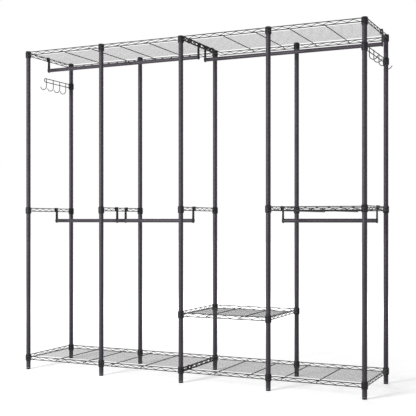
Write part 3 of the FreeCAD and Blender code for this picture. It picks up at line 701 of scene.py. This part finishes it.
# Split sleeves, two halves in each collar
sleeve_inside = POST_RADIUS + SLEEVE_FIT
sleeve_low, sleeve_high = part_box("sleeves_hook_rack_left")
sleeve_half_height = (sleeve_high.z - sleeve_low.z) / 2
sleeve_half = turned([
    (sleeve_inside, -sleeve_half_height), (sleeve_inside + SLEEVE_WALL_BOTTOM, -sleeve_half_height),
    (sleeve_inside + SLEEVE_WALL_TOP, sleeve_half_height), (sleeve_inside, sleeve_half_height)],
    ROUND_SIDES // 2, HALF_TURN - SLEEVE_SLIT)
SLEEVE_POSTS = {node: (range(FIRST_ROW, MIDDLE_ROW + 1), SIDES) for node in TWO_BAY_SHELVES}
SLEEVE_POSTS.update({node: (range(MIDDLE_ROW + 1, LAST_ROW + 1), SIDES) for node in JOINED_SHELVES})
SLEEVE_POSTS.update({node: ((row, row + 1), SIDES) for node, row in ONE_BAY_SHELVES.items()})
SLEEVE_POSTS.update({node: ((row,), SIDES) for node, row in SIDE_FRAMES.items()})
SLEEVE_POSTS["hook_rack_left"] = ((FIRST_ROW,), ("rear",))
SLEEVE_POSTS["hook_rack_right"] = ((LAST_ROW,), SIDES)
for holder, (rows, sides) in SLEEVE_POSTS.items():
    sleeves = Shape()
    for row in rows:
        for side in sides:
            for turn in (0, HALF_TURN):
                sleeves.add(sleeve_half, at(ROW_X[row], SIDE_Y[side], level(holder), turn))
    node = "sleeves_" + holder
    piece(node, sleeves.mesh(node), SLEEVE_PLASTIC)


# Hook racks

def hook_path(outward):
    """A hook in the XZ plane that hangs from the upper rack wire and curls outward."""
    x = outward * ((RACK_WIRE + HOOK_WIRE) / 2 + SEAM_GAP)
    top = RACK_SPACING / 2 + RACK_WIRE / 2
    bottom = top - HOOK_DROP
    tip_reach = HOOK_BEND * math.tan(HOOK_TIP_ANGLE / 2)
    tip_run = tip_reach + HOOK_TIP
    corner_x = x + outward * (HOOK_BEND + HOOK_FLAT + tip_reach)
    tip_x = corner_x + outward * tip_run * math.cos(HOOK_TIP_ANGLE)
    tip_z = bottom + tip_run * math.sin(HOOK_TIP_ANGLE)
    start = (x, 0, top - HOOK_WIRE / 2)
    return bent([start, (x, 0, bottom), (corner_x, 0, bottom), (tip_x, 0, tip_z)], HOOK_BEND)


rack_z = level("hook_rack_left")
half_rack = RACK_SPACING / 2
left_rack = Shape()
collars_on(left_rack, (FIRST_ROW,), ("rear",), rack_z)
hairpin = [
    (COLLAR_RADIUS, 0, half_rack), (RACK_LENGTH, 0, half_rack),
    (RACK_LENGTH, 0, -half_rack), (COLLAR_RADIUS, 0, -half_rack)]
outward_place = at(ROW_X[FIRST_ROW], SIDE_Y["rear"], rack_z, -QUARTER_TURN)
left_rack.add(wire(bent(hairpin, (RACK_SPACING - RACK_END_FLAT) / 2), RACK_WIRE), outward_place)
for z in (half_rack, -half_rack):
    weld(left_rack, COLLAR_RADIUS, 0, z, RACK_WIRE, outward_place)
for share in LEFT_HOOK_SHARES:
    hook_place = at(ROW_X[FIRST_ROW], SIDE_Y["rear"] - share * RACK_LENGTH, rack_z)
    left_rack.add(wire(hook_path(-1), HOOK_WIRE), hook_place)
piece("hook_rack_left", left_rack.mesh("hook_rack_left"), WIRE_COAT, COLLAR_COAT)

right_rack = Shape()
collars_on(right_rack, (LAST_ROW,), SIDES, rack_z)
bar_place = at(ROW_X[LAST_ROW], SIDE_Y["front"], rack_z, QUARTER_TURN)
for z in (half_rack, -half_rack):
    bar_start, bar_end = COLLAR_RADIUS, DEPTH - COLLAR_RADIUS
    right_rack.add(wire([(bar_start, 0, z), (bar_end, 0, z)], RACK_WIRE), bar_place)
    for x in (bar_start, bar_end):
        weld(right_rack, x, 0, z, RACK_WIRE, bar_place)
for share in RIGHT_HOOK_SHARES:
    hook_place = at(ROW_X[LAST_ROW], SIDE_Y["front"] + share * DEPTH, rack_z)
    right_rack.add(wire(hook_path(1), HOOK_WIRE), hook_place)
piece("hook_rack_right", right_rack.mesh("hook_rack_right"), WIRE_COAT, COLLAR_COAT)

# Hanging rods and their clips
clip_slot = FRAME_WIRE / 2 + CLIP_FIT
rod_low, rod_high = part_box("rod_bay_1")
rod_radius = (rod_high.z - rod_low.z) / 2
clip_bottom = -TRUSS_SPACING - FRAME_WIRE / 2
rod_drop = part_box("brackets_bay_1")[1].z - clip_slot - CLIP_BRIDGE - middle("rod_bay_1").z
seat_radius = rod_radius + SEAT_RIM


def as_object(name, points, faces):
    mesh = bpy.data.meshes.new(name)
    mesh.from_pydata(points, [], faces)
    fix_normals(mesh)
    made = bpy.data.objects.new(name, mesh)
    bpy.context.scene.collection.objects.link(made)
    return made


def hanger_outline():
    """The neck and the round seat in Y and Z, from inside the clip down round the rod's end."""
    neck_top = clip_bottom + CLIP_PLATE
    reach = math.acos(NECK_BOTTOM_WIDTH / 2 / seat_radius)
    outline = [(-NECK_TOP_WIDTH / 2, neck_top), (-NECK_TOP_WIDTH / 2, clip_bottom)]
    for step in range(ROUND_SIDES + 1):
        angle = HALF_TURN - reach + (2 * reach + HALF_TURN) * step / ROUND_SIDES
        outline.append((seat_radius * math.cos(angle), -rod_drop + seat_radius * math.sin(angle)))
    return outline + [(NECK_TOP_WIDTH / 2, clip_bottom), (NECK_TOP_WIDTH / 2, neck_top)]


def clip_mesh(crossed):
    """One clip: a U over the truss, its long leg with the rod's seat, and the boss inside the rod.

    A crossed clip has its long leg on the far side of the truss from its boss."""
    clip_top = clip_slot + CLIP_BRIDGE
    side = -1 if crossed else 1
    outline = [
        (-clip_slot - CLIP_OUTER_LEG, clip_bottom), (-clip_slot, clip_bottom), (-clip_slot, clip_slot),
        (clip_slot, clip_slot), (clip_slot, clip_bottom), (clip_slot + CLIP_PLATE, clip_bottom),
        (clip_slot + CLIP_PLATE, clip_top), (-clip_slot - CLIP_OUTER_LEG, clip_top)]
    points, faces = extruded(outline, CLIP_WIDTH)
    clip = as_object("clip", [Vector((side * p.x, p.z, p.y)) for p in points], faces)
    leg_middle = side * (clip_slot + CLIP_PLATE / 2)
    points, faces = extruded(hanger_outline(), CLIP_PLATE)
    hanger = as_object("hanger", [Vector((p.z + leg_middle, p.x, p.y)) for p in points], faces)
    boss_radius = rod_radius - ROD_WALL - ROD_FIT
    boss_length = CLIP_PLATE / 2 + BOSS_LENGTH
    points, faces = turned([(0, 0), (boss_radius, 0), (boss_radius, boss_length), (0, boss_length)])
    boss = as_object("boss", [Vector((p.z + leg_middle, p.y, p.x - rod_drop)) for p in points], faces)
    for part in (hanger, boss):
        union = clip.modifiers.new("union", "BOOLEAN")
        union.operation = "UNION"
        union.solver = "EXACT"
        union.object = part
    bevel = clip.modifiers.new("edges", "BEVEL")
    bevel.width = CLIP_EDGE
    bevel.segments = CLIP_EDGE_STEPS
    bevel.limit_method = "ANGLE"
    bevel.angle_limit = SMOOTH_ANGLE
    evaluated = clip.evaluated_get(bpy.context.evaluated_depsgraph_get())
    mesh = bpy.data.meshes.new_from_object(evaluated)
    for part in (clip, hanger, boss):
        bpy.data.objects.remove(part)
    return [vertex.co.copy() for vertex in mesh.vertices], [list(face.vertices) for face in mesh.polygons]


inside_clip = clip_mesh(False)
crossed_clip = clip_mesh(True)
outer_reach = clip_slot + CLIP_OUTER_LEG
leg_reach = clip_slot + CLIP_PLATE
for label in RODS:
    rod_low, rod_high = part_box("rod_" + label)
    length = rod_high.x - rod_low.x
    rod_outline = [
        (rod_radius - ROD_WALL, 0), (rod_radius - ROD_EDGE, 0), (rod_radius, ROD_EDGE),
        (rod_radius, length - ROD_EDGE), (rod_radius - ROD_EDGE, length), (rod_radius - ROD_WALL, length)]
    rod = Shape()
    centre = middle("rod_" + label)
    along_x = Matrix.Rotation(QUARTER_TURN, 4, "Y")
    rod.add(turned(rod_outline), Matrix.Translation((rod_low.x, centre.y, centre.z)) @ along_x)
    piece("rod_" + label, rod.mesh("rod_" + label), POST_COAT)
    low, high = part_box("brackets_" + label)
    wire_z = high.z - clip_slot - CLIP_BRIDGE
    clips = Shape()
    clip, reach = (crossed_clip, leg_reach) if label in CROSSED_RODS else (inside_clip, outer_reach)
    clips.add(clip, at(low.x + reach, centre.y, wire_z))
    clips.add(clip, at(high.x - reach, centre.y, wire_z, HALF_TURN))
    piece("brackets_" + label, clips.mesh("brackets_" + label), CLIP_PLASTIC)

# Camera at the photograph's angle
CAMERA_PLACE = Vector((2.175, -4.502, 0.910))
CAMERA_YAW = math.radians(25.16)
CAMERA_SENSOR = 36
CAMERA_LENS = 73.8
CAMERA_SHIFT_UP = 0.0307

camera = bpy.data.objects.new("camera", bpy.data.cameras.new("camera"))
camera.data.sensor_width = CAMERA_SENSOR
camera.data.lens = CAMERA_LENS
camera.data.shift_y = CAMERA_SHIFT_UP
camera.location = CAMERA_PLACE
camera.rotation_euler = (QUARTER_TURN, 0, CAMERA_YAW)
bpy.context.scene.collection.objects.link(camera)
bpy.context.scene.camera = camera

# Soft studio light, a pale floor and a white surround
FLOOR_SIZE = 60
WORLD_LIGHT = 0.34
FLOOR_COLOUR = (0.93, 0.93, 0.93, 1)
FLOOR_ROUGHNESS = 0.9
NEAR_GLOW, FAR_GLOW = 0.36, 0.8
GLOW_START, GLOW_END = 1.2, 4.0
LIGHT_TARGET = Vector((0, 0, 0.95))
# Place, size and power of each lamp
LIGHTS = {
    "key": (Vector((-1.7, -4.9, 1.7)), (1.4, 1.8), 340),
    "fill": (Vector((4.6, -3.0, 2.2)), (2.4, 2.4), 15),
    "back": (Vector((-1.5, 4.6, 3.2)), (3.0, 2.0), 90),
}
for name, (place, size, power) in LIGHTS.items():
    lamp = bpy.data.lights.new(name, "AREA")
    lamp.shape = "RECTANGLE"
    lamp.size, lamp.size_y = size
    lamp.energy = power
    lit = bpy.data.objects.new(name, lamp)
    lit.location = place
    lit.rotation_mode = "QUATERNION"
    lit.rotation_quaternion = (LIGHT_TARGET - place).to_track_quat("-Z", "Y")
    bpy.context.scene.collection.objects.link(lit)


def seen_directly(nodes, links):
    """1 for rays from the camera and for what shines or passes through, else 0."""
    path = nodes.new("ShaderNodeLightPath")
    either = path.outputs["Is Camera Ray"]
    for name in ("Is Glossy Ray", "Is Transmission Ray"):
        more = nodes.new("ShaderNodeMath")
        more.operation = "MAXIMUM"
        links.new(either, more.inputs[0])
        links.new(path.outputs[name], more.inputs[1])
        either = more.outputs[0]
    return either


world = bpy.data.worlds.new("studio")
bpy.context.scene.world = world
world.use_nodes = True
nodes, links = world.node_tree.nodes, world.node_tree.links
background = nodes["Background"]
background.inputs["Color"].default_value = (1, 1, 1, 1)
strength = nodes.new("ShaderNodeMix")
strength.inputs["A"].default_value = WORLD_LIGHT
strength.inputs["B"].default_value = 1
links.new(seen_directly(nodes, links), strength.inputs["Factor"])
links.new(strength.outputs["Result"], background.inputs["Strength"])

floor_coat, nodes, links, shader = material("floor")
shader.inputs["Base Color"].default_value = FLOOR_COLOUR
shader.inputs["Roughness"].default_value = FLOOR_ROUGHNESS
shader.inputs["Specular IOR Level"].default_value = 0
shader.inputs["Emission Color"].default_value = (1, 1, 1, 1)
where = nodes.new("ShaderNodeNewGeometry")
distance = nodes.new("ShaderNodeVectorMath")
distance.operation = "LENGTH"
links.new(where.outputs["Position"], distance.inputs[0])
glow = nodes.new("ShaderNodeMapRange")
glow.inputs["From Min"].default_value = GLOW_START
glow.inputs["From Max"].default_value = GLOW_END
glow.inputs["To Min"].default_value = NEAR_GLOW
glow.inputs["To Max"].default_value = FAR_GLOW
links.new(distance.outputs["Value"], glow.inputs["Value"])
seen_glow = nodes.new("ShaderNodeMath")
seen_glow.operation = "MULTIPLY"
links.new(seen_directly(nodes, links), seen_glow.inputs[0])
links.new(glow.outputs["Result"], seen_glow.inputs[1])
links.new(seen_glow.outputs[0], shader.inputs["Emission Strength"])
bpy.ops.mesh.primitive_plane_add(size=FLOOR_SIZE)
floor = bpy.context.object
floor.name = "floor"
floor.data.materials.append(floor_coat)

bpy.context.scene.view_settings.view_transform = "Standard"
